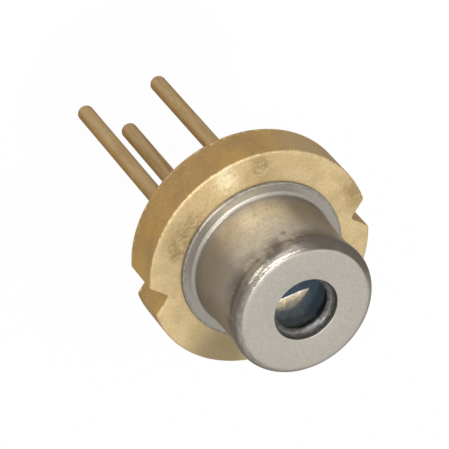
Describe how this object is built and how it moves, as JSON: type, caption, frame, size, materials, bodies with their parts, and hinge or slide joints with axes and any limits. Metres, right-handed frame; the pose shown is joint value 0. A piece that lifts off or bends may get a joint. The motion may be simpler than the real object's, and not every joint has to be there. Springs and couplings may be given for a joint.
{
  "type": "laser diode",
  "caption": "Laser diode in a round gold-plated stem with a windowed metal can, V-notched rim and thin round leads.",
  "frame": {"origin": "centre of the stem's front face, the reference face that a holder locates", "axes": "+Z along the beam, out of the window; the leads run down -Z; +X and -X pass through the two V notches; the index slot and the common lead lie towards -Y"},
  "size_m": [0.0056, 0.0056, 0.0106],
  "materials": {
    "stem_gold": "satin gold plate over steel",
    "sink_gold": "gold plate over copper",
    "silicon": "polished silicon",
    "laser_chip": "cleaved semiconductor with gold metal",
    "photodiode": "polished silicon with a blue coating",
    "lead_gold": "gold plate over drawn wire",
    "seal_glass": "dark sealing glass, opaque",
    "braze": "braze under gold plate",
    "cap_nickel": "satin nickel plate over steel",
    "solder_glass": "glossy solder glass",
    "window_glass": "clear glass with an anti-reflection coating",
    "bond_gold": "gold wire"
  },
  "bodies": {
    "root": {"stem": "stem_gold", "heat_sink": "sink_gold", "submount": "silicon", "laser_chip": "laser_chip", "photodiode_chip": "photodiode", "lead_laser": "lead_gold", "lead_monitor": "lead_gold", "lead_common": "lead_gold", "seal_laser": "seal_glass", "seal_monitor": "seal_glass", "braze_ring": "braze", "cap": "cap_nickel", "window_solder": "solder_glass", "window_glass": "window_glass", "wire_laser": "bond_gold", "wire_submount": "bond_gold", "wire_monitor": "bond_gold"}
  },
  "joints": []
}
